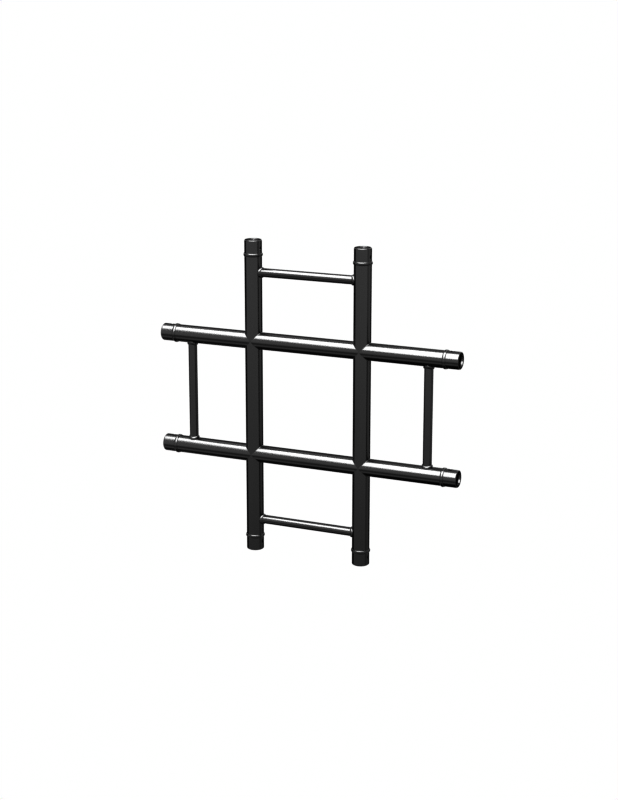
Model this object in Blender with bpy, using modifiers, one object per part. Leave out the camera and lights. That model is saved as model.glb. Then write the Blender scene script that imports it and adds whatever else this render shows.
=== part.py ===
"""A four-way cross junction for two-chord lighting truss, in metres, +Z up.

Two upright chords and two level chords cross in one plane, the XZ plane, with the centre of the
cross at the origin and the front of the junction facing -Y. The upright chords run through, and
each level chord is three lengths of tube, coped against the uprights and welded to them. Every
chord ends in a coupler receiver: a conical bore for the coupler, a cross hole for its pin, and a
shank that sits inside the chord. Four short braces hold the pairs of chords apart near their ends.
"""

import math

import bmesh
import bpy
import numpy as np
from mathutils import Matrix, Vector

# Driving dimensions
CHORD_SPACING = 0.340  # between the axes of a pair of chords, both ways
OVERALL = 0.930  # from receiver face to receiver face, both ways
CHORD_RADIUS = 0.025
CHORD_WALL = 0.003
BRACE_RADIUS = 0.0125
BRACE_WALL = 0.002
BRACE_OFFSET = 0.371  # from the centre of the cross to a brace's axis
GAP = 0.0003  # between pieces that touch

# Coupler receiver, with depths measured from its open face
BORE_MOUTH_RADIUS = 0.0154  # where the cone meets the wider lead-in
BORE_LEAD_IN_DEPTH = 0.006
BORE_LEAD_IN_ANGLE = math.radians(15)  # to the bore's axis
BORE_EDGE_BREAK = 0.0005
BORE_THROAT_RADIUS = 0.0132
BORE_CONE_DEPTH = 0.050
FACE_EDGE_ROUNDING = 0.003
RECEIVER_DEPTH = 0.065
PIN_DEPTH = 0.025
PIN_REACH = 0.060  # the length that the cross hole's taper is given over, clear of the barrel
PIN_WIDE_RADIUS = 0.0063
PIN_NARROW_RADIUS = 0.0055

# Weld between receiver and chord: a groove with a proud round bead in it
GROOVE_DEPTH = 0.043  # from the open face to the middle of the groove
GROOVE_ROOT_HALF = 0.001
GROOVE_MOUTH_HALF = 0.0034
RING_HEIGHT = 0.0025
RING_HALF_WIDTH = 0.0047

# Bead round a brace's end: part of an ellipse, from the chord's wall over to the brace's
BRACE_BEAD_HEIGHT = 0.0029
BRACE_BEAD_HALF_WIDTH = 0.0045
BRACE_BEAD_START = math.radians(-30)  # from the crown, where the bead leaves the chord

# Fillets in the corners of the crossings
CROSSING_WELD_LEG = 0.0020
CROSSING_WELD_LEAST = 0.35  # of the full leg, where the seam would reach the front or back line
CROSSING_WELD_CROWN = 0.0004  # how far a fillet bulges past the straight line between its toes

CHORD_SIDES = 28
BRACE_SIDES = 20
PIN_SIDES = 16
BRACE_BEAD_POINTS = 6
CROSSING_WELD_STATIONS = 11
CROSSING_WELD_STOP = math.radians(12)  # how far short of the front and back line a bead stops
SHARP_ANGLE = math.radians(35)

HALF_SPACING = CHORD_SPACING / 2
HALF_OVERALL = OVERALL / 2
CHORD_BORE = CHORD_RADIUS - CHORD_WALL
CHORD_END = HALF_OVERALL - GROOVE_DEPTH - GROOVE_ROOT_HALF
CHORD_BEVEL_END = HALF_OVERALL - GROOVE_DEPTH - GROOVE_MOUTH_HALF
X_AXIS, Z_AXIS = Vector((1, 0, 0)), Vector((0, 0, 1))
UPRIGHTS = {"left": -HALF_SPACING, "right": HALF_SPACING}  # x of each upright chord
LEVELS = {"upper": HALF_SPACING, "lower": -HALF_SPACING}  # z of each level chord


def clear_scene():
    for obj in list(bpy.data.objects):
        bpy.data.objects.remove(obj, do_unlink=True)


def collection(name):
    group = bpy.data.collections.new(name)
    bpy.context.scene.collection.children.link(group)
    return group


def powder_coat(name, grey, roughness):
    """Black paint over aluminium: a dielectric, so its metallic value is 0."""
    material = bpy.data.materials.new(name)
    material.use_nodes = True
    shader = material.node_tree.nodes["Principled BSDF"]
    shader.inputs["Base Color"].default_value = (grey, grey, grey, 1)
    shader.inputs["Roughness"].default_value = roughness
    shader.inputs["Metallic"].default_value = 0
    return material


clear_scene()
TRUSS = collection("truss_cross_junction")
CUTTERS = collection("cutters")
CHORD_PAINT = powder_coat("chord_tube", 0.020, 0.22)
BRACE_PAINT = powder_coat("brace_tube", 0.020, 0.22)
RECEIVER_PAINT = powder_coat("coupler_receiver", 0.022, 0.26)
WELD_PAINT = powder_coat("weld_bead", 0.024, 0.30)


def placed(origin, along, side):
    """The matrix that turns local +Z to `along` and local +X to `side`, at `origin`."""
    turn = Matrix((side, along.cross(side), along)).transposed().to_4x4()
    return Matrix.Translation(origin) @ turn


def add(name, mesh, group, matrix):
    obj = bpy.data.objects.new(name, mesh)
    group.objects.link(obj)
    obj.matrix_world = matrix
    return obj


def apply_modifiers(obj):
    """Keep what the modifiers made as the object's own mesh, smooth but for its real edges."""
    bpy.context.view_layer.update()
    evaluated = obj.evaluated_get(bpy.context.evaluated_depsgraph_get())
    mesh = bpy.data.meshes.new_from_object(evaluated)
    mesh.name = obj.name
    obj.modifiers.clear()
    obj.data = mesh
    mesh.shade_smooth()
    mesh.set_sharp_from_angle(angle=SHARP_ANGLE)


def turn_profile(obj, sides):
    screw = obj.modifiers.new("turn", "SCREW")
    screw.axis = "Z"
    screw.angle = math.tau
    screw.steps = sides
    screw.render_steps = sides
    screw.use_merge_vertices = True
    screw.merge_threshold = 0.00001


def turned(name, profile, sides, paint, matrix):
    """A closed profile of (radius, height) points, down its outer side first, turned about Z."""
    mesh = bpy.data.meshes.new(name)
    points = [(radius, 0, height) for radius, height in profile]
    edges = [(i, (i + 1) % len(points)) for i in range(len(points))]
    mesh.from_pydata(points, edges, [])
    mesh.materials.append(paint)
    obj = add(name, mesh, TRUSS, matrix)
    turn_profile(obj, sides)
    return obj


def cut(obj, cutter):
    boolean = obj.modifiers.new("cut", "BOOLEAN")
    boolean.operation = "DIFFERENCE"
    boolean.solver = "EXACT"
    boolean.object = cutter


def cutter(name, radius_low, radius_high, length, sides, matrix):
    """A round cutter centred on its matrix, along its Z, hidden from the model."""
    mesh = bpy.data.meshes.new(name)
    work = bmesh.new()
    bmesh.ops.create_cone(
        work, cap_ends=True, segments=sides, radius1=radius_low, radius2=radius_high, depth=length
    )
    work.to_mesh(mesh)
    work.free()
    obj = add(name, mesh, CUTTERS, matrix)
    obj.hide_render = True
    obj.display_type = "WIRE"
    return obj


def loft(name, sections, is_ring, paint, matrix):
    """A solid through sections of like points: a closed ring, or a bar capped at its two ends."""
    count, corners = len(sections), len(sections[0])
    spans = count if is_ring else count - 1
    faces = []
    for i in range(spans):
        here, after = i * corners, (i + 1) % count * corners
        for j in range(corners):
            k = (j + 1) % corners
            faces.append((here + j, here + k, after + k, after + j))
    if not is_ring:
        faces.append(tuple(range(corners)))
        faces.append(tuple(range((count - 1) * corners, count * corners)))
    mesh = bpy.data.meshes.new(name)
    mesh.from_pydata(np.reshape(sections, (-1, 3)).tolist(), [], faces)
    work = bmesh.new()
    work.from_mesh(mesh)
    bmesh.ops.recalc_face_normals(work, faces=work.faces)
    work.to_mesh(mesh)
    work.free()
    mesh.materials.append(paint)
    mesh.shade_smooth()
    mesh.set_sharp_from_angle(angle=SHARP_ANGLE)
    return add(name, mesh, TRUSS, matrix)


# Chord clearance cutters: each is a chord, a gap larger, that the coped tubes are cut back from
CLEARANCE = CHORD_RADIUS + GAP


def chord_cutters():
    upright = {
        side: cutter(
            f"clearance_{side}", CLEARANCE, CLEARANCE, OVERALL, CHORD_SIDES,
            placed(Vector((x, 0, 0)), Z_AXIS, X_AXIS),
        )
        for side, x in UPRIGHTS.items()
    }
    level = {
        row: cutter(
            f"clearance_{row}", CLEARANCE, CLEARANCE, OVERALL, CHORD_SIDES,
            placed(Vector((0, 0, z)), X_AXIS, Z_AXIS),
        )
        for row, z in LEVELS.items()
    }
    return upright, level


def upright_chords():
    """Two through tubes, bevelled at both ends for the groove of the receiver weld."""
    profile = [
        (CHORD_RADIUS, CHORD_BEVEL_END),
        (CHORD_RADIUS, -CHORD_BEVEL_END),
        (CHORD_BORE, -CHORD_END),
        (CHORD_BORE, CHORD_END),
    ]
    for side, x in UPRIGHTS.items():
        matrix = placed(Vector((x, 0, 0)), Z_AXIS, X_AXIS)
        apply_modifiers(turned(f"chord_upright_{side}", profile, CHORD_SIDES, CHORD_PAINT, matrix))


def level_chords(upright_cutters):
    """Each level chord: an arm either side, bevelled outside and coped inside, and a middle."""
    arm = [
        (CHORD_RADIUS, CHORD_BEVEL_END),
        (CHORD_RADIUS, HALF_SPACING),
        (CHORD_BORE, HALF_SPACING),
        (CHORD_BORE, CHORD_END),
    ]
    middle = [
        (CHORD_RADIUS, HALF_SPACING),
        (CHORD_RADIUS, -HALF_SPACING),
        (CHORD_BORE, -HALF_SPACING),
        (CHORD_BORE, HALF_SPACING),
    ]
    for row, z in LEVELS.items():
        origin = Vector((0, 0, z))
        for side, outward in (("left", -X_AXIS), ("right", X_AXIS)):
            matrix = placed(origin, outward, Z_AXIS)
            tube = turned(f"chord_{row}_{side}_arm", arm, CHORD_SIDES, CHORD_PAINT, matrix)
            cut(tube, upright_cutters[side])
            apply_modifiers(tube)
        matrix = placed(origin, X_AXIS, Z_AXIS)
        tube = turned(f"chord_{row}_middle", middle, CHORD_SIDES, CHORD_PAINT, matrix)
        for side in UPRIGHTS:
            cut(tube, upright_cutters[side])
        apply_modifiers(tube)


def braces(upright_cutters, level_cutters):
    """Four short tubes across the pairs of chords, coped against them at both ends."""
    reach = HALF_SPACING - CHORD_RADIUS + BRACE_RADIUS / 2  # into both chords, until it is coped
    bore = BRACE_RADIUS - BRACE_WALL
    profile = [(BRACE_RADIUS, reach), (BRACE_RADIUS, -reach), (bore, -reach), (bore, reach)]
    spots = {
        "top": (BRACE_OFFSET * Z_AXIS, X_AXIS, Z_AXIS, upright_cutters),
        "bottom": (-BRACE_OFFSET * Z_AXIS, X_AXIS, Z_AXIS, upright_cutters),
        "left": (-BRACE_OFFSET * X_AXIS, Z_AXIS, X_AXIS, level_cutters),
        "right": (BRACE_OFFSET * X_AXIS, Z_AXIS, X_AXIS, level_cutters),
    }
    for name, (origin, along, side, cutters) in spots.items():
        tube = turned(f"brace_{name}", profile, BRACE_SIDES, BRACE_PAINT, placed(origin, along, side))
        for each in cutters.values():
            cut(tube, each)
        apply_modifiers(tube)


def chord_ends():
    """Name and frame of each open end: +Z out of the bore, +X towards the pin hole's wide side."""
    ends = {}
    for side, x in UPRIGHTS.items():
        ends[f"top_{side}"] = placed(Vector((x, 0, HALF_OVERALL)), Z_AXIS, X_AXIS)
        ends[f"bottom_{side}"] = placed(Vector((x, 0, -HALF_OVERALL)), -Z_AXIS, X_AXIS)
    for row, z in LEVELS.items():
        ends[f"left_{row}"] = placed(Vector((-HALF_OVERALL, 0, z)), -X_AXIS, Z_AXIS)
        ends[f"right_{row}"] = placed(Vector((HALF_OVERALL, 0, z)), X_AXIS, Z_AXIS)
    return ends


def receivers(ends):
    """Turned sockets: outer barrel, groove side, shank inside the chord, and conical bore."""
    outer_edge = [
        (
            CHORD_RADIUS - FACE_EDGE_ROUNDING * (1 - math.sin(angle)),
            -FACE_EDGE_ROUNDING * (1 - math.cos(angle)),
        )
        for angle in (math.radians(degrees) for degrees in (0, 30, 60, 90))
    ]
    flare = (BORE_LEAD_IN_DEPTH - BORE_EDGE_BREAK) * math.tan(BORE_LEAD_IN_ANGLE)
    shank_radius = CHORD_BORE - GAP
    profile = [
        *outer_edge,
        (CHORD_RADIUS, -(GROOVE_DEPTH - GROOVE_MOUTH_HALF)),
        (shank_radius, -(GROOVE_DEPTH - GROOVE_ROOT_HALF)),
        (shank_radius, -RECEIVER_DEPTH),
        (BORE_THROAT_RADIUS, -RECEIVER_DEPTH),
        (BORE_THROAT_RADIUS, -BORE_CONE_DEPTH),
        (BORE_MOUTH_RADIUS, -BORE_LEAD_IN_DEPTH),
        (BORE_MOUTH_RADIUS + flare, -BORE_EDGE_BREAK),
        (BORE_MOUTH_RADIUS + flare + BORE_EDGE_BREAK, 0),
    ]
    for name, matrix in ends.items():
        body = turned(f"receiver_{name}", profile, CHORD_SIDES, RECEIVER_PAINT, matrix)
        across = placed(Vector((0, 0, -PIN_DEPTH)), X_AXIS, Z_AXIS)
        hole = cutter(
            f"pin_hole_{name}", PIN_NARROW_RADIUS, PIN_WIDE_RADIUS, PIN_REACH, PIN_SIDES,
            matrix @ across,
        )
        cut(body, hole)
        apply_modifiers(body)


def receiver_welds(ends):
    """Round beads that fill the grooves between receivers and chords and stand proud of them.

    The proud part is half an ellipse, wider than the groove, so it laps over both tubes.
    """
    flare = (GROOVE_MOUTH_HALF - GROOVE_ROOT_HALF) / CHORD_WALL
    inset = GAP * math.hypot(1, flare)  # along the chord, for a gap square to the groove's side
    lap_radius = CHORD_RADIUS + GAP
    neck_half = GROOVE_MOUTH_HALF - inset + GAP * flare
    crown = [
        (CHORD_RADIUS + RING_HEIGHT * math.sin(angle), -RING_HALF_WIDTH * math.cos(angle))
        for angle in (math.radians(degrees) for degrees in (30, 60, 90, 120, 150))
    ]
    profile = [
        (lap_radius, neck_half),
        (CHORD_BORE, GROOVE_ROOT_HALF - inset),
        (CHORD_BORE, -(GROOVE_ROOT_HALF - inset)),
        (lap_radius, -neck_half),
        (lap_radius, -RING_HALF_WIDTH),
        *crown,
        (lap_radius, RING_HALF_WIDTH),
    ]
    profile.reverse()
    for name, matrix in ends.items():
        middle = Matrix.Translation(Vector((0, 0, -GROOVE_DEPTH)))
        bead = turned(f"weld_receiver_{name}", profile, CHORD_SIDES, WELD_PAINT, matrix @ middle)
        apply_modifiers(bead)


def onto_cylinder(points, axis, radius):
    """Points moved straight away from a cylinder's axis, through the origin, onto its wall."""
    flat = points.copy()
    flat[:, axis] = 0
    scaled = flat * (radius / np.linalg.norm(flat, axis=1, keepdims=True))
    scaled[:, axis] = points[:, axis]
    return scaled


def brace_weld_sections():
    """Bead round a brace's end: the chord runs along Z through the origin, the brace along X."""
    angle = np.linspace(0, math.tau, BRACE_SIDES, endpoint=False)
    round_y, round_z = np.cos(angle), np.sin(angle)

    def ring(radius, lift):
        """A ring about the brace, `lift` further out than the chord's cleared wall."""
        y, z = radius * round_y, radius * round_z
        return np.stack([np.sqrt(CLEARANCE**2 - y**2) + lift, y, z], axis=1)

    inner = BRACE_RADIUS + GAP
    face = [
        ring(
            inner + BRACE_BEAD_HEIGHT * math.cos(lean),
            BRACE_BEAD_HALF_WIDTH * (math.sin(lean) - math.sin(BRACE_BEAD_START)),
        )
        for lean in np.linspace(BRACE_BEAD_START, math.pi / 2, BRACE_BEAD_POINTS)
    ]
    return np.stack([ring(inner, 0), *face], axis=1)


def brace_welds():
    sections = brace_weld_sections()
    for end, z in (("top", BRACE_OFFSET), ("bottom", -BRACE_OFFSET)):
        for side, x in UPRIGHTS.items():
            inward = X_AXIS if x < 0 else -X_AXIS
            matrix = placed(Vector((x, 0, z)), Z_AXIS, inward)
            loft(f"weld_brace_{end}_{side}", sections, True, WELD_PAINT, matrix)
    for end, x in (("left", -BRACE_OFFSET), ("right", BRACE_OFFSET)):
        for row, z in LEVELS.items():
            inward = Z_AXIS if z < 0 else -Z_AXIS
            matrix = placed(Vector((x, 0, z)), X_AXIS, inward)
            loft(f"weld_brace_{end}_{row}", sections, True, WELD_PAINT, matrix)


def crossing_weld_sections():
    """Fillet in one corner of a crossing, between chords along Z and X, in the +X +Z corner.

    Two equal tubes that cross at right angles meet where x equals z, on half of an ellipse from
    the front line to the back line. The legs are square to that seam and shrink towards its two
    ends, where the tubes' walls run into one another.
    """
    angle = np.linspace(CROSSING_WELD_STOP, math.pi - CROSSING_WELD_STOP, CROSSING_WELD_STATIONS)
    sine, cosine, none = np.sin(angle), np.cos(angle), np.zeros(CROSSING_WELD_STATIONS)
    seam = CHORD_RADIUS * np.stack([sine, -cosine, sine], axis=1)
    tangent = np.stack([cosine, sine, cosine], axis=1)
    tangent /= np.linalg.norm(tangent, axis=1, keepdims=True)
    upright_normal = np.stack([sine, -cosine, none], axis=1)
    level_normal = np.stack([none, -cosine, sine], axis=1)
    leg = (CROSSING_WELD_LEG * (CROSSING_WELD_LEAST + (1 - CROSSING_WELD_LEAST) * sine))[:, None]
    outward = upright_normal + level_normal
    root = seam + GAP * outward / (1 + cosine**2)[:, None]
    up = np.cross(upright_normal, tangent)
    along = np.cross(tangent, level_normal)
    upright_toe = onto_cylinder(root + leg * up, 2, CLEARANCE)
    level_toe = onto_cylinder(root + leg * along, 0, CLEARANCE)
    bulge = CROSSING_WELD_CROWN * outward / np.linalg.norm(outward, axis=1, keepdims=True)
    crown = (upright_toe + level_toe) / 2 + bulge
    return np.stack([root, upright_toe, crown, level_toe], axis=1)


def crossing_welds():
    sections = crossing_weld_sections()
    for side, x in UPRIGHTS.items():
        for row, z in LEVELS.items():
            origin = Vector((x, 0, z))
            corners = {
                "top_right": (Z_AXIS, X_AXIS),
                "bottom_right": (X_AXIS, -Z_AXIS),
                "bottom_left": (-Z_AXIS, -X_AXIS),
                "top_left": (-X_AXIS, Z_AXIS),
            }
            for corner, (along, across) in corners.items():
                matrix = placed(origin, along, across)
                loft(f"weld_{row}_{side}_{corner}", sections, False, WELD_PAINT, matrix)


def build():
    upright_cutters, level_cutters = chord_cutters()
    upright_chords()
    level_chords(upright_cutters)
    braces(upright_cutters, level_cutters)
    ends = chord_ends()
    receivers(ends)
    receiver_welds(ends)
    brace_welds()
    crossing_welds()


build()
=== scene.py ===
"""A four-way cross junction of two-chord stage truss in gloss black powder coat (metres, +Z up)."""

import math

import bpy
import numpy as np
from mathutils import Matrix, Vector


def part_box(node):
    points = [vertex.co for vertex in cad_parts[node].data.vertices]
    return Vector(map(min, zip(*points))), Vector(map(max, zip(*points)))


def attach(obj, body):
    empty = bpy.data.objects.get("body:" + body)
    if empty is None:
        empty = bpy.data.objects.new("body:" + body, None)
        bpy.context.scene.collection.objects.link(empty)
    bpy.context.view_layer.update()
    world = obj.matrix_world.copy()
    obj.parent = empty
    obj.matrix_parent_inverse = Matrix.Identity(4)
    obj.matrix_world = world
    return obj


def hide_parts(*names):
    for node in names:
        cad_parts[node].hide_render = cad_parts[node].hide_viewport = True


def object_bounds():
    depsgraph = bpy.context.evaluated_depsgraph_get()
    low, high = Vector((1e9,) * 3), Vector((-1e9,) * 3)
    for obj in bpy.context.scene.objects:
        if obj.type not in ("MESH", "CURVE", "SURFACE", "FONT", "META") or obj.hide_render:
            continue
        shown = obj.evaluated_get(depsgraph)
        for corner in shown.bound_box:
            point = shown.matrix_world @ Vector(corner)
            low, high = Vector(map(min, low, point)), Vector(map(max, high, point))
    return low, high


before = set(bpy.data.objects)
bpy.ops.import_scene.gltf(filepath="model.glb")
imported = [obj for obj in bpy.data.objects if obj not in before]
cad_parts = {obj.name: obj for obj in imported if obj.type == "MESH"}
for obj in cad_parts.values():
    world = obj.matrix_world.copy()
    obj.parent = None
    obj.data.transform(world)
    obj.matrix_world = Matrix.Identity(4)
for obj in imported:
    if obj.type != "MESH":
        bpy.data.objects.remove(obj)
cad_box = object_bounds()


# Upright chords: two lengths of round aluminium tube that run the whole height of the junction,
# sawn square and bevelled at both ends for the receiver welds, then powder coated with the rest.
CHORD_WALL = 0.003
BEVEL_LENGTH = 0.0024
CHORD_COLUMNS = 192
SHARP_ANGLE = math.radians(28)
COAT_IOR = 1.6
PATCH_SCALE = 45  # turns of each noise in a metre, from the soft shade patches to the fine peel
GLOSS_SCALE = 110
PEEL_SCALE = 520
PEEL_DEPTH = 0.0001
SHADE_SPREAD = 0.2  # either side of the mean, as a share of it
GLOSS_SPREAD = 0.07
STREAK_STRETCH = 0.12  # of the noise's own scale, along a drawn tube


def finished(mesh, paint):
    """An object for a mesh, smooth but for its real edges, and painted."""
    mesh.validate()
    mesh.materials.append(paint)
    mesh.shade_smooth()
    mesh.set_sharp_from_angle(angle=SHARP_ANGLE)
    piece = bpy.data.objects.new(mesh.name, mesh)
    bpy.context.scene.collection.objects.link(piece)
    return piece


def skin(name, grid, paint, loose=None, extra_points=None, extra_faces=None):
    """A closed mesh over a grid of points that joins up both ways: row r, column c meets its four
    neighbours, and the last row and column meet the first. `loose` marks squares to leave out."""
    rows, columns = grid.shape[:2]
    row, column = np.meshgrid(np.arange(rows), np.arange(columns), indexing="ij")
    next_row, next_column = (row + 1) % rows, (column + 1) % columns
    faces = np.stack(
        [
            row * columns + column,
            row * columns + next_column,
            next_row * columns + next_column,
            next_row * columns + column,
        ],
        axis=-1,
    )
    faces = faces.reshape(-1, 4) if loose is None else faces[~loose]
    points = grid.reshape(-1, 3)
    if extra_points is not None:
        points = np.concatenate([points, extra_points])
        faces = np.concatenate([faces, extra_faces])
    used, faces = np.unique(faces, return_inverse=True)
    points, faces = points[used], faces.reshape(-1, 4)
    mesh = bpy.data.meshes.new(name)
    mesh.vertices.add(len(points))
    mesh.vertices.foreach_set("co", points.astype(np.float32).ravel())
    mesh.loops.add(faces.size)
    mesh.loops.foreach_set("vertex_index", faces.astype(np.int32).ravel())
    mesh.polygons.add(len(faces))
    mesh.polygons.foreach_set("loop_start", np.arange(0, faces.size, 4, dtype=np.int32))
    mesh.update(calc_edges=True)
    return finished(mesh, paint)


def stand_for(piece, node):
    """The piece rides on the one body and replaces its CAD node, which is hidden."""
    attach(piece, "root")
    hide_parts(node)


def gloss_black_coat(name, black, roughness, peel, streak_axis=None):
    """Powder coat over metal: a black that varies a little from place to place, a gloss that is
    duller in soft patches, and the fine orange peel of melted powder as bump. The streak axis
    stretches the patches along a drawn tube."""
    material = bpy.data.materials.new(name)
    material.use_nodes = True
    nodes, links = material.node_tree.nodes, material.node_tree.links
    shader = nodes["Principled BSDF"]
    place = nodes.new("ShaderNodeTexCoord")
    stretch = nodes.new("ShaderNodeMapping")
    if streak_axis is not None:
        stretch.inputs["Scale"].default_value[streak_axis] = STREAK_STRETCH
    links.new(place.outputs["Object"], stretch.inputs["Vector"])

    def noise(scale, detail, spot):
        texture = nodes.new("ShaderNodeTexNoise")
        texture.inputs["Scale"].default_value = scale
        texture.inputs["Detail"].default_value = detail
        links.new(spot, texture.inputs["Vector"])
        return texture.outputs["Fac"]

    def spread(value, mean, share):
        """The noise's middle range run out to a share either side of the mean."""
        remap = nodes.new("ShaderNodeMapRange")
        remap.inputs["From Min"].default_value = 0.3
        remap.inputs["From Max"].default_value = 0.7
        remap.inputs["To Min"].default_value = mean * (1 - share)
        remap.inputs["To Max"].default_value = mean * (1 + share)
        links.new(value, remap.inputs["Value"])
        return remap.outputs["Result"]

    patches = spread(noise(PATCH_SCALE, 3, stretch.outputs["Vector"]), black, SHADE_SPREAD)
    shade = nodes.new("ShaderNodeCombineColor")
    for channel in ("Red", "Green", "Blue"):
        links.new(patches, shade.inputs[channel])
    links.new(shade.outputs["Color"], shader.inputs["Base Color"])
    gloss = spread(noise(GLOSS_SCALE, 4, stretch.outputs["Vector"]), roughness, GLOSS_SPREAD)
    links.new(gloss, shader.inputs["Roughness"])
    bump = nodes.new("ShaderNodeBump")
    bump.inputs["Strength"].default_value = peel
    bump.inputs["Distance"].default_value = PEEL_DEPTH
    links.new(noise(PEEL_SCALE, 2, place.outputs["Object"]), bump.inputs["Height"])
    links.new(bump.outputs["Normal"], shader.inputs["Normal"])
    shader.inputs["Metallic"].default_value = 0
    shader.inputs["IOR"].default_value = COAT_IOR
    return material


chord_coat_upright = gloss_black_coat(
    "chord_coat_upright", black=0.0022, roughness=0.17, peel=0.08, streak_axis=2
)
around = np.linspace(0, math.tau, CHORD_COLUMNS, endpoint=False)
for side in ("left", "right"):
    low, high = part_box(f"chord_upright_{side}")
    axis_x, radius = (low.x + high.x) / 2, (high.x - low.x) / 2
    bore = radius - CHORD_WALL
    radii = np.array([radius, radius, bore, bore])
    heights = np.array([low.z + BEVEL_LENGTH, high.z - BEVEL_LENGTH, high.z, low.z])
    tube = np.stack(
        [
            axis_x + np.outer(radii, np.cos(around)),
            np.outer(radii, np.sin(around)),
            np.repeat(heights[:, None], CHORD_COLUMNS, axis=1),
        ],
        axis=-1,
    )
    piece = skin(f"upright_chord_{side}", tube, chord_coat_upright)
    stand_for(piece, f"chord_upright_{side}")


# Level chords: each is three lengths of the same tube. The inner ends are coped, cut to the curve
# of the upright they meet, so two equal tubes join on a clean cross of seams at the front and back.
SEAT = 0.0002  # how far a coped end is fused into the upright's wall

chord_coat_level = gloss_black_coat(
    "chord_coat_level", black=0.0022, roughness=0.17, peel=0.08, streak_axis=0
)
upright_x = {}
for side in ("left", "right"):
    low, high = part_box(f"chord_upright_{side}")
    upright_x[side] = (low.x + high.x) / 2


def coped_reach(across):
    """How far from an upright's axis its wall stands, at a distance `across` in front of or
    behind that axis: the square root of radius squared less `across` squared."""
    return np.sqrt(np.maximum(radius**2 - across**2, 0)) - SEAT


def level_tube(outline):
    """Rows of points round a level chord's axis: each outline entry is a tube radius and, for every
    column, how far along the chord that row reaches."""
    return np.stack([np.stack([x, ring[r][0], ring[r][1]], axis=-1) for r, x in outline])


for row in ("upper", "lower"):
    low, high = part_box(f"chord_{row}_middle")
    axis_z = (low.z + high.z) / 2
    ring = {r: (r * np.sin(around), axis_z + r * np.cos(around)) for r in (radius, bore)}
    for side, sign in (("left", -1), ("right", 1)):
        low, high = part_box(f"chord_{row}_{side}_arm")
        far_end = sign * max(abs(low.x), abs(high.x))
        outline = [
            (radius, upright_x[side] + sign * coped_reach(ring[radius][0])),
            (radius, np.full(CHORD_COLUMNS, far_end - sign * BEVEL_LENGTH)),
            (bore, np.full(CHORD_COLUMNS, far_end)),
            (bore, upright_x[side] + sign * coped_reach(ring[bore][0])),
        ]
        tube = level_tube(outline)
        tube = tube if sign < 0 else tube[::-1]  # so that both arms' faces point outwards
        piece = skin(f"level_chord_{row}_{side}", tube, chord_coat_level)
        stand_for(piece, f"chord_{row}_{side}_arm")
    outline = [
        (radius, upright_x["left"] + coped_reach(ring[radius][0])),
        (radius, upright_x["right"] - coped_reach(ring[radius][0])),
        (bore, upright_x["right"] - coped_reach(ring[bore][0])),
        (bore, upright_x["left"] + coped_reach(ring[bore][0])),
    ]
    piece = skin(f"level_chord_{row}_middle", level_tube(outline)[::-1], chord_coat_level)
    stand_for(piece, f"chord_{row}_middle")


# Coupler receivers: turned aluminium sockets at the eight open ends, each with a conical bore for
# the coupler, a tapered cross hole for its pin, and a shank that slides inside the chord's end.
MOUTH_RADIUS = 0.0154  # where the cone meets the wider lead-in
LEAD_IN_DEPTH = 0.006
LEAD_IN_ANGLE = math.radians(15)
MOUTH_EDGE_BREAK = 0.0005
THROAT_RADIUS = 0.0132
CONE_DEPTH = 0.050
EDGE_ROUNDING = 0.003
GROOVE_DEPTH = 0.043
GROOVE_ROOT_HALF = 0.001
SHANK_CLEARANCE = 0.0003
SHANK_EDGE_BREAK = 0.0006
PIN_DEPTH = 0.025
PIN_WIDE_RADIUS = 0.0062
PIN_NARROW_RADIUS = 0.0056
PIN_EDGE_BREAK = 0.0005
RECEIVER_COLUMNS = 128
PIERCED_COLUMNS = 12  # each side of the hole
PIERCED_HALF_DEPTH = 0.012
STEP = 0.001  # between the rows of the barrel and of the bore
PATCH_RINGS = 8
FACE_ROWS, ROUNDING_ROWS, LEAD_IN_ROWS = 4, 13, 8

receiver_coat = gloss_black_coat("receiver_coat", black=0.0024, roughness=0.18, peel=0.08)
END_NAMES = [
    *(f"{end}_{side}" for end in ("top", "bottom") for side in ("left", "right")),
    *(f"{end}_{row}" for end in ("left", "right") for row in ("upper", "lower")),
]


def end_frame(node):
    """The middle of a chord end's open face, and its axes as rows: towards the wide side of the
    pin hole, across it, and out of the bore."""
    low, high = (np.array(corner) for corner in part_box(node))
    middle = (low + high) / 2
    along = int(np.argmax(high - low))
    sign = math.copysign(1, middle[along])
    origin = middle.copy()
    origin[along] = high[along] if sign > 0 else low[along]
    out = np.zeros(3)
    out[along] = sign
    pin = np.array([1.0, 0, 0]) if along == 2 else np.array([0, 0, 1.0])
    return origin, np.stack([pin, np.cross(out, pin), out])


def turned(depths, radii, columns):
    """A profile of depths behind the face and radii, turned about the bore's axis."""
    angle = np.linspace(0, math.tau, columns, endpoint=False)
    return np.stack(
        [
            np.outer(radii, np.cos(angle)),
            np.outer(radii, np.sin(angle)),
            np.repeat(-depths[:, None], columns, axis=1),
        ],
        axis=-1,
    )


def bore_radius(depth):
    """The bore's cone: a straight line from the mouth's radius to the throat's."""
    share = (depth - LEAD_IN_DEPTH) / (CONE_DEPTH - LEAD_IN_DEPTH)
    return MOUTH_RADIUS + (THROAT_RADIUS - MOUTH_RADIUS) * share


def barrel_radius(depth):
    """The barrel is a plain cylinder of the chord's radius."""
    return np.full_like(depth, radius)


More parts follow.
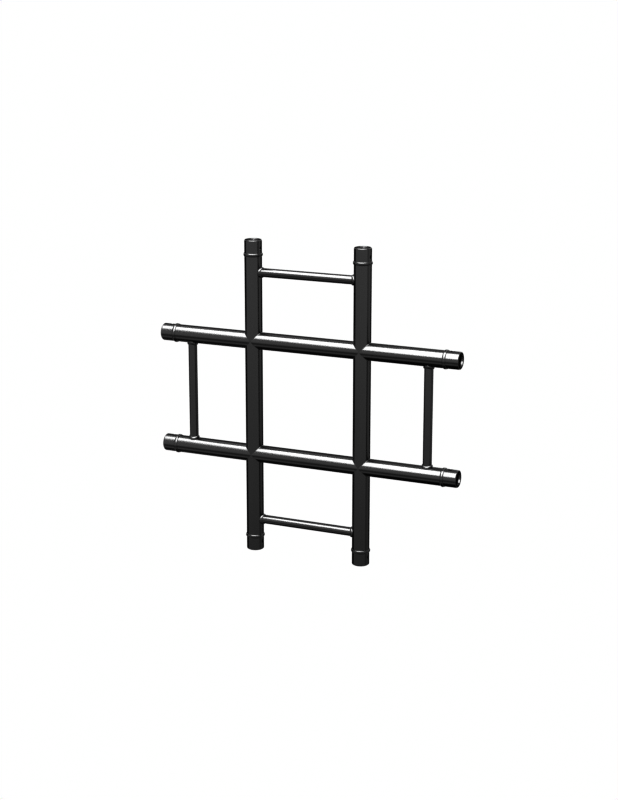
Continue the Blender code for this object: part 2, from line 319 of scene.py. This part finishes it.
def patch(grid, first_row, sign, hole_radius, wall):
    """Rings of points from a square of the grid's own points in to a round hole across the wall:
    each point slides in a straight line, seen along the pin, and is put back onto the wall."""
    last_row = first_row + round(2 * PIERCED_HALF_DEPTH / STEP)
    middle = 0 if sign > 0 else RECEIVER_COLUMNS // 2
    columns = np.arange(-PIERCED_COLUMNS, PIERCED_COLUMNS + 1)
    rows = np.arange(first_row, last_row + 1)
    loop_rows = np.concatenate(
        [
            np.full(len(columns) - 1, first_row), rows[:-1],
            np.full(len(columns) - 1, last_row), rows[:0:-1],
        ]
    )
    loop_columns = np.concatenate(
        [
            columns[:-1], np.full(len(rows) - 1, columns[-1]),
            columns[:0:-1], np.full(len(rows) - 1, columns[0]),
        ]
    )
    loop_columns = (loop_columns + middle) % RECEIVER_COLUMNS
    square = grid[loop_rows, loop_columns]
    flat = np.stack([square[:, 1], -square[:, 2] - PIN_DEPTH], axis=-1)
    hole = hole_radius * flat / np.linalg.norm(flat, axis=1, keepdims=True)
    share = np.linspace(0, 1, PATCH_RINGS + 1)[1:, None, None]
    slid = flat + share * (hole - flat)
    depth = slid[..., 1] + PIN_DEPTH
    outward = sign * np.sqrt(wall(depth) ** 2 - slid[..., 0] ** 2)
    rings = np.stack([outward, slid[..., 0], -depth], axis=-1)
    loop = loop_rows * RECEIVER_COLUMNS + loop_columns
    removed = np.zeros(grid.shape[:2], bool)
    cut_rows = np.arange(first_row, last_row)
    cut_columns = (np.arange(-PIERCED_COLUMNS, PIERCED_COLUMNS) + middle) % RECEIVER_COLUMNS
    removed[np.ix_(cut_rows, cut_columns)] = True
    return loop, rings, removed


def bands(loops):
    """Squares between loops of point numbers, each loop joined to the next and to itself."""
    here, after = loops[:-1], loops[1:]
    turned_here, turned_after = np.roll(here, -1, axis=1), np.roll(after, -1, axis=1)
    return np.stack([here, turned_here, turned_after, after], axis=-1).reshape(-1, 4)


def receiver_shape(shank_end):
    """The whole receiver about its own axis: the turned grid, the squares its pin hole takes out,
    and the points and squares of the hole's patches and of its wall from barrel to bore. The
    profile runs from the face over the barrel to the shank's end and back up the bore."""
    rounding = np.linspace(0, math.pi / 2, ROUNDING_ROWS)
    lead_in = np.linspace(LEAD_IN_DEPTH, MOUTH_EDGE_BREAK, LEAD_IN_ROWS)
    lead_in_radii = MOUTH_RADIUS + (LEAD_IN_DEPTH - lead_in) * math.tan(LEAD_IN_ANGLE)
    mouth_edge = lead_in_radii[-1] + MOUTH_EDGE_BREAK
    face_radii = np.linspace(mouth_edge, radius - EDGE_ROUNDING, FACE_ROWS)
    groove_root = GROOVE_DEPTH - GROOVE_ROOT_HALF
    groove_mouth = groove_root - BEVEL_LENGTH
    barrel = np.arange(EDGE_ROUNDING, groove_mouth, STEP)[1:]
    cone = np.arange(CONE_DEPTH, LEAD_IN_DEPTH + STEP / 2, -STEP)
    shank = radius - CHORD_WALL - SHANK_CLEARANCE
    depths = [
        np.zeros(FACE_ROWS - 1), EDGE_ROUNDING * (1 - np.cos(rounding)), barrel,
        [groove_mouth, groove_root, shank_end - SHANK_EDGE_BREAK, shank_end, shank_end],
        cone, lead_in,
    ]
    radii = [
        face_radii[:-1], radius - EDGE_ROUNDING * (1 - np.sin(rounding)), barrel_radius(barrel),
        [radius, shank, shank, shank - SHANK_EDGE_BREAK, THROAT_RADIUS],
        bore_radius(cone), lead_in_radii,
    ]
    depths, radii = np.concatenate(depths)[::-1], np.concatenate(radii)[::-1]
    grid = turned(depths, radii, RECEIVER_COLUMNS)
    off_barrel, off_cone = radii < radius - 1e-6, radii > MOUTH_RADIUS
    barrel_row = int(np.argmin(np.abs(depths - PIN_DEPTH - PIERCED_HALF_DEPTH) + off_barrel))
    cone_row = int(np.argmin(np.abs(depths - PIN_DEPTH + PIERCED_HALF_DEPTH) + off_cone))
    removed = np.zeros(grid.shape[:2], bool)
    points, faces = [], []
    count = grid.shape[0] * RECEIVER_COLUMNS
    for sign, hole in ((1, PIN_WIDE_RADIUS), (-1, PIN_NARROW_RADIUS)):
        outer_hole = hole + PIN_EDGE_BREAK
        outer, outer_rings, gone = patch(grid, barrel_row, sign, outer_hole, barrel_radius)
        removed |= gone
        inner, inner_rings, gone = patch(grid, cone_row, sign, hole, bore_radius)
        removed |= gone
        inner_rings = np.roll(inner_rings[:, ::-1], 1, axis=1)
        inner = np.roll(inner[::-1], 1)
        lip = outer_rings[-1].copy()
        lip[:, 0] -= sign * PIN_EDGE_BREAK
        lip[:, 1] *= hole / outer_hole
        lip[:, 2] = (lip[:, 2] + PIN_DEPTH) * hole / outer_hole - PIN_DEPTH
        outer_angle = np.arctan2(lip[:, 2] + PIN_DEPTH, lip[:, 1])
        inner_angle = np.arctan2(inner_rings[-1][:, 2] + PIN_DEPTH, inner_rings[-1][:, 1])
        turn = int(np.argmin(np.abs(np.angle(np.exp(1j * (inner_angle - outer_angle[0]))))))
        inner_rings, inner = np.roll(inner_rings, -turn, axis=1), np.roll(inner, -turn)
        made = np.concatenate([outer_rings, lip[None], inner_rings[::-1]])
        size = made.shape[1]
        numbers = count + np.arange(made.shape[0] * size).reshape(-1, size)
        loops = np.concatenate([outer[None], numbers, inner[None]])
        points.append(made.reshape(-1, 3))
        faces.append(bands(loops))
        count += made.shape[0] * size
    return grid, removed, np.concatenate(points), np.concatenate(faces)


for name in END_NAMES:
    node = f"receiver_{name}"
    origin, axes = end_frame(node)
    low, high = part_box(node)
    grid, removed, points, faces = receiver_shape(max(high - low))
    piece = skin(
        f"coupler_socket_{name}", grid @ axes + origin, receiver_coat,
        loose=removed, extra_points=points @ axes + origin, extra_faces=faces,
    )
    stand_for(piece, node)


# Receiver welds: one pass of weld metal round each chord end fills the groove between tube and
# receiver, laps over both and stands proud. Under the coat its pool ripples are only just there.
RING_HALF_WIDTH = 0.0048
RIPPLE_HEIGHT = 0.00004
RIPPLE_PITCH = 0.0017
RIPPLE_BOW = 0.55  # how far a ripple's sides trail behind its middle, as a share of the pitch
SAMPLES_PER_RIPPLE = 7
CROWN_ROWS = 25
ROOT_DEPTH = 0.0006  # how far a bead's underside is sunk into the tubes
ROOT_SHARE = 0.9  # the underside's width, as a share of the bead's

weld_coat = gloss_black_coat("weld_coat", black=0.0026, roughness=0.19, peel=0.12)


def ripples(travel, across):
    """Weld ripples: a cosine along the travel, one turn for each ripple, bowed back at the sides
    of the bead like the pool that froze there."""
    return 0.5 + 0.5 * np.cos(math.tau * (travel - RIPPLE_BOW * across**2))


for name in END_NAMES:
    node = f"weld_receiver_{name}"
    origin, axes = end_frame(f"receiver_{name}")
    low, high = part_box(node)
    ring_radius = max(high - low) / 2
    count = round(math.tau * radius / RIPPLE_PITCH)
    columns = count * SAMPLES_PER_RIPPLE
    turn = np.linspace(0, 1, columns, endpoint=False)[None, :]
    lean = np.linspace(-math.pi / 2, math.pi / 2, CROWN_ROWS)[:, None]
    crown = (ring_radius - radius - RIPPLE_HEIGHT) * np.cos(lean)
    rise = crown + RIPPLE_HEIGHT * ripples(turn * count, np.sin(lean)) * np.cos(lean)
    root_radius = np.full((2, columns), radius - ROOT_DEPTH)
    profile_radius = np.concatenate([radius + rise, root_radius])
    offset = np.concatenate([np.sin(lean), [[ROOT_SHARE], [-ROOT_SHARE]]]) * RING_HALF_WIDTH
    angle = turn * math.tau
    bead = np.stack(
        [
            profile_radius * np.cos(angle),
            profile_radius * np.sin(angle),
            np.broadcast_to(offset - GROOVE_DEPTH, profile_radius.shape),
        ],
        axis=-1,
    )
    piece = skin(f"ring_weld_{name}", bead @ axes + origin, weld_coat)
    stand_for(piece, node)


# Braces: four short lengths of thinner aluminium tube across the pairs of chords near their ends,
# coped at both ends to the curve of the chords.
BRACE_WALL = 0.002
BRACE_COLUMNS = 144

brace_coat = gloss_black_coat("brace_coat", black=0.0022, roughness=0.16, peel=0.08)
BRACE_NAMES = ("top", "bottom", "left", "right")
brace_around = np.linspace(0, math.tau, BRACE_COLUMNS, endpoint=False)
half_spacing = upright_x["right"]


def brace_axes(name):
    """A brace's middle, and its axes as rows: along it, towards the back, and the third."""
    low, high = (np.array(corner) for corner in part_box(f"brace_{name}"))
    along = np.zeros(3)
    along[int(np.argmax(high - low))] = 1
    back = np.array([0, 1.0, 0])
    return (low + high) / 2, np.stack([along, back, np.cross(along, back)]), min(high - low) / 2


for name in BRACE_NAMES:
    middle, axes, brace_radius = brace_axes(name)
    brace_bore = brace_radius - BRACE_WALL
    outline = []
    for r, sign in ((brace_radius, -1), (brace_radius, 1), (brace_bore, 1), (brace_bore, -1)):
        back = r * np.cos(brace_around)
        outline.append(
            np.stack(
                [sign * (half_spacing - coped_reach(back)), back, r * np.sin(brace_around)], axis=-1
            )
        )
    piece = skin(f"brace_tube_{name}", np.stack(outline) @ axes + middle, brace_coat)
    stand_for(piece, f"brace_{name}")


# Brace welds: one round bead about each end of each brace, lapping from the chord's wall over onto
# the brace, coated with the rest.
BEAD_HEIGHT = 0.0030
BEAD_HALF_WIDTH = 0.0046
BEAD_START = math.radians(-30)  # from the crown, where the bead leaves the chord
BEAD_ROWS = 21
BEAD_SUNK = 0.0005  # how far its underside is sunk into the brace


def bead_grid(columns, count):
    """A bead about the brace's end, with the brace along X and the chord's axis at X = 0. Its
    section is an ellipse from BEAD_START over the crown to the brace: the rise above the brace is
    the height times the cosine of the lean, the place along it the half width times the sine."""
    turn = np.linspace(0, 1, columns, endpoint=False)
    back, up = np.cos(turn * math.tau), np.sin(turn * math.tau)

    def chord_wall(r):
        return np.sqrt(radius**2 - (r * back) ** 2)

    lean = np.linspace(BEAD_START, math.pi / 2, BEAD_ROWS)[:, None]
    ripple = RIPPLE_HEIGHT * ripples(turn[None, :] * count, np.sin(lean))
    over_r = brace_radius + (BEAD_HEIGHT + ripple) * np.cos(lean)
    over_x = chord_wall(over_r) + BEAD_HALF_WIDTH * (np.sin(lean) - math.sin(BEAD_START))
    under_r = np.stack([over_r[-1], over_r[-1], over_r[0]]) - BEAD_SUNK
    under_x = np.stack(
        [
            over_x[-1] - BEAD_SUNK,
            chord_wall(brace_radius) - 2 * BEAD_SUNK,
            over_x[0] - 2 * BEAD_SUNK,
        ]
    )
    r, x = np.concatenate([over_r, under_r]), np.concatenate([over_x, under_x])
    return np.stack([x, r * back, r * up], axis=-1)


count = round(math.tau * (brace_radius + BEAD_HEIGHT) / RIPPLE_PITCH)
bead = bead_grid(count * SAMPLES_PER_RIPPLE, count)
for name in BRACE_NAMES:
    middle, axes, _ = brace_axes(name)
    far_names = ("left", "right") if name in ("top", "bottom") else ("lower", "upper")
    for sign, far in zip((-1, 1), far_names):
        turned_axes = axes if sign < 0 else axes * np.array([[-1], [1], [-1]])
        chord_point = middle + sign * half_spacing * axes[0]
        node = f"weld_brace_{name}_{far}"
        piece = skin(f"bead_weld_{name}_{far}", bead @ turned_axes + chord_point, weld_coat)
        stand_for(piece, node)


# Crossing welds: a small fillet in each of the four corners of every crossing. It follows the seam
# from the front to the back and fades out at both, where the walls of the tubes run together.
CROSSING_LEG = 0.0011
CROSSING_CROWN = 0.0001
CROSSING_STOP = math.radians(7)
CROSSING_LEAST = 0.08  # of the full leg, at the two ends of a fillet
CROSSING_STATIONS = 320
CROSSING_ROWS = 9


def onto_wall(points, along):
    """Points moved straight away from a chord's axis until they are on its wall."""
    flat = points.copy()
    flat[..., along] = 0
    moved = flat * (radius / np.linalg.norm(flat, axis=-1, keepdims=True))
    moved[..., along] = points[..., along]
    return moved


def crossing_grid():
    """A fillet in the +X +Z corner of two equal tubes along Z and X. They meet where x equals z,
    on half an ellipse: radius times (sine, -cosine, sine) of an angle from front to back. Each
    leg is square to that seam, on its own tube's wall, and shrinks with the sine of the angle."""
    angle = np.linspace(CROSSING_STOP, math.pi - CROSSING_STOP, CROSSING_STATIONS)
    sine, cosine, none = np.sin(angle), np.cos(angle), np.zeros(CROSSING_STATIONS)
    seam = radius * np.stack([sine, -cosine, sine], axis=-1)
    tangent = np.stack([cosine, sine, cosine], axis=-1)
    tangent /= np.linalg.norm(tangent, axis=-1, keepdims=True)
    upright_normal = np.stack([sine, -cosine, none], axis=-1)
    level_normal = np.stack([none, -cosine, sine], axis=-1)
    fade = np.sin((angle - CROSSING_STOP) / (math.pi - 2 * CROSSING_STOP) * math.pi)
    leg = (CROSSING_LEG * (CROSSING_LEAST + (1 - CROSSING_LEAST) * fade))[:, None]
    up_toe = onto_wall(seam + leg * np.cross(upright_normal, tangent), 2)
    level_toe = onto_wall(seam + leg * np.cross(tangent, level_normal), 0)
    outward = upright_normal + level_normal
    outward /= np.linalg.norm(outward, axis=-1, keepdims=True)
    step = np.linalg.norm(np.diff(seam, axis=0), axis=1)
    travel = np.concatenate([[0], np.cumsum(step)]) / RIPPLE_PITCH
    across = np.linspace(-1, 1, CROSSING_ROWS)[:, None]
    share = ((across + 1) / 2)[..., None]
    bow = (CROSSING_CROWN + RIPPLE_HEIGHT * ripples(travel[None, :], across)) * (1 - across**2)
    bow = (bow * fade)[..., None]
    crown = up_toe + share * (level_toe - up_toe) + bow * outward
    root = (seam - ROOT_DEPTH * outward)[None]
    return np.concatenate([crown, root]).transpose(1, 0, 2)


def bar(name, sections, paint):
    """A closed mesh through like sections along a bead, with a fan of triangles over each end."""
    stations, size = sections.shape[:2]
    here = np.arange(stations * size).reshape(stations, size)
    beside = np.roll(here, -1, axis=1)
    sides = np.stack([here[:-1], beside[:-1], beside[1:], here[1:]], axis=-1).reshape(-1, 4)
    poles = np.full((2, size), here.size) + [[0], [1]]
    first = np.stack([poles[0], beside[0], here[0]], axis=-1)
    last = np.stack([poles[1], here[-1], beside[-1]], axis=-1)
    points = np.concatenate([sections.reshape(-1, 3), sections[[0, -1]].mean(axis=1)])
    mesh = bpy.data.meshes.new(name)
    mesh.from_pydata(points.tolist(), [], sides.tolist() + first.tolist() + last.tolist())
    return finished(mesh, paint)


corner_sections = crossing_grid()
for row in ("upper", "lower"):
    low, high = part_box(f"chord_{row}_middle")
    for side in ("left", "right"):
        crossing = np.array([upright_x[side], 0, (low.z + high.z) / 2])
        for corner, x_sign, z_sign in (
            ("top_right", 1, 1),
            ("bottom_right", 1, -1),
            ("bottom_left", -1, -1),
            ("top_left", -1, 1),
        ):
            mirrored = corner_sections * np.array([x_sign, 1, z_sign])
            mirrored = mirrored if x_sign * z_sign > 0 else mirrored[:, ::-1]
            piece = bar(f"corner_weld_{row}_{side}_{corner}", mirrored + crossing, weld_coat)
            stand_for(piece, f"weld_{row}_{side}_{corner}")


# Studio: a pale floor under the junction, a large soft panel overhead, and a room that is light on
# the camera's side and dim behind. The floor doesn't show in the gloss paint.
CAMERA_PLACE = (1.976, -4.346, 1.2455)
CAMERA_YAW = 0.4257  # turned to the left of straight back, in radians
CAMERA_PITCH = 0.2534  # downwards
CAMERA_LENS = 77.0
FLOOR_REACH = 60.0
PANEL_HEIGHT = 3.8
PANEL_LEFT, PANEL_RIGHT, PANEL_FRONT, PANEL_BACK = -0.77, 0.9, -2.1, 0.11  # of its height
PANEL_RADIANCE = 16.5
ROOM_RADIANCE = 4.8
DISPLAY_GAMMA = 0.5

floor_mesh = bpy.data.meshes.new("floor")
floor_corners = [
    (x * FLOOR_REACH, y * FLOOR_REACH, cad_box[0].z)
    for x, y in ((-1, -1), (1, -1), (1, 1), (-1, 1))
]
floor_mesh.from_pydata(floor_corners, [], [(0, 1, 2, 3)])
floor_paint = bpy.data.materials.new("pale_floor")
floor_paint.use_nodes = True
floor_nodes = floor_paint.node_tree.nodes
floor_nodes.clear()
floor_glow = floor_nodes.new("ShaderNodeEmission")
floor_out = floor_nodes.new("ShaderNodeOutputMaterial")
floor_paint.node_tree.links.new(floor_glow.outputs["Emission"], floor_out.inputs["Surface"])
floor_mesh.materials.append(floor_paint)
floor = bpy.data.objects.new("floor", floor_mesh)
bpy.context.scene.collection.objects.link(floor)
floor.visible_glossy = False
floor.visible_diffuse = False

panel_data = bpy.data.lights.new("overhead_panel", "AREA")
panel_data.shape = "RECTANGLE"
panel_data.size = (PANEL_RIGHT - PANEL_LEFT) * PANEL_HEIGHT
panel_data.size_y = (PANEL_BACK - PANEL_FRONT) * PANEL_HEIGHT
panel_data.energy = PANEL_RADIANCE * math.pi * panel_data.size * panel_data.size_y
panel = bpy.data.objects.new("overhead_panel", panel_data)
panel.location = (
    (PANEL_RIGHT + PANEL_LEFT) / 2 * PANEL_HEIGHT,
    (PANEL_BACK + PANEL_FRONT) / 2 * PANEL_HEIGHT,
    PANEL_HEIGHT,
)
panel.visible_camera = False
bpy.context.scene.collection.objects.link(panel)

world = bpy.data.worlds.new("studio")
world.use_nodes = True
bpy.context.scene.world = world
nodes, links = world.node_tree.nodes, world.node_tree.links
nodes.clear()
direction = nodes.new("ShaderNodeTexCoord")
split = nodes.new("ShaderNodeSeparateXYZ")
links.new(direction.outputs["Generated"], split.inputs["Vector"])


def maths(operation, first, second=None):
    """One sum on a socket, with another socket or a plain number as its second term."""
    node = nodes.new("ShaderNodeMath")
    node.operation = operation
    links.new(first, node.inputs[0])
    if isinstance(second, (int, float)):
        node.inputs[1].default_value = second
    elif second is not None:
        links.new(second, node.inputs[1])
    return node.outputs["Value"]


def steps(angle, half_turn, levels):
    """A brightness that runs straight from each (degrees, level) to the next."""
    place = nodes.new("ShaderNodeMapRange")
    place.inputs["From Min"].default_value = -math.radians(half_turn)
    place.inputs["From Max"].default_value = math.radians(half_turn)
    links.new(angle, place.inputs["Value"])
    ramp = nodes.new("ShaderNodeValToRGB")
    links.new(place.outputs["Result"], ramp.inputs["Fac"])
    stops = ramp.color_ramp.elements
    for degrees, level in levels[1:-1]:
        stops.new(0.5 + degrees / half_turn / 2).color = (level, level, level, 1)
    for stop, (_, level) in ((stops[0], levels[0]), (stops[-1], levels[-1])):
        stop.color = (level, level, level, 1)
    return ramp.outputs["Color"]


elevation = maths("ARCSINE", split.outputs["Z"])
azimuth = maths("ARCTAN2", split.outputs["X"], maths("MULTIPLY", split.outputs["Y"], -1))


def glow(by_height, by_side):
    """Light from far away: the room's radiance times a level for the height above the horizon,
    times a level for the side of the room, where 0 degrees is the front and 90 the right."""
    shader = nodes.new("ShaderNodeBackground")
    links.new(steps(elevation, 90, by_height), shader.inputs["Color"])
    strength = maths("MULTIPLY", steps(azimuth, 180, by_side), ROOM_RADIANCE)
    links.new(strength, shader.inputs["Strength"])
    return shader.outputs["Background"]


def both(first, second):
    """Two lights added together."""
    shader = nodes.new("ShaderNodeAddShader")
    links.new(first, shader.inputs[0])
    links.new(second, shader.inputs[1])
    return shader.outputs["Shader"]


front_of_room = glow(
    (
        (-90, 0.0), (-65, 0.02), (-59, 0.23), (-48, 0.52), (-40, 0.32), (-30, 0.19), (-23, 0.24),
        (-19, 0.40), (-9, 0.64), (90, 0.64),
    ),
    (
        (-180, 0.0), (-86, 0.0), (-78, 0.72), (-62, 0.85), (-34, 0.97), (0, 1.0), (80, 1.0),
        (88, 0.6), (95, 0.56), (112, 0.69), (142, 0.5), (147, 0.0), (180, 0.0),
    ),
)
back_ceiling = glow(
    ((-90, 0.0), (18, 0.0), (30, 0.08), (50, 0.28), (90, 0.28)),
    ((-180, 1.0), (-100, 1.0), (-86, 0.0), (142, 0.0), (147, 1.0), (180, 1.0)),
)
back_walls = glow(
    (
        (-90, 0.0), (-60, 0.0), (-50, 0.3), (-28, 0.2), (-24, 0.0), (-6, 0.0), (0, 0.35),
        (90, 0.35),
    ),
    (
        (-180, 1.0), (-162, 1.0), (-158, 0.0), (-136, 0.0), (-132, 1.0), (-100, 1.0), (-94, 0.0),
        (147, 0.0), (152, 1.0), (180, 1.0),
    ),
)
white = nodes.new("ShaderNodeBackground")
white.inputs["Color"].default_value = (1, 1, 1, 1)
rays = nodes.new("ShaderNodeLightPath")
mix = nodes.new("ShaderNodeMixShader")
links.new(rays.outputs["Is Camera Ray"], mix.inputs["Fac"])
links.new(both(both(front_of_room, back_ceiling), back_walls), mix.inputs[1])
links.new(white.outputs["Background"], mix.inputs[2])
world_out = nodes.new("ShaderNodeOutputWorld")
links.new(mix.outputs["Shader"], world_out.inputs["Surface"])
bpy.context.scene.view_settings.view_transform = "Standard"
bpy.context.scene.view_settings.gamma = DISPLAY_GAMMA

camera_data = bpy.data.cameras.new("camera")
camera_data.sensor_width = 36
camera_data.lens = CAMERA_LENS
camera_data.clip_end = 200
camera = bpy.data.objects.new("camera", camera_data)
camera.location = CAMERA_PLACE
camera.rotation_euler = (math.pi / 2 - CAMERA_PITCH, 0, CAMERA_YAW)
bpy.context.scene.collection.objects.link(camera)
bpy.context.scene.camera = camera
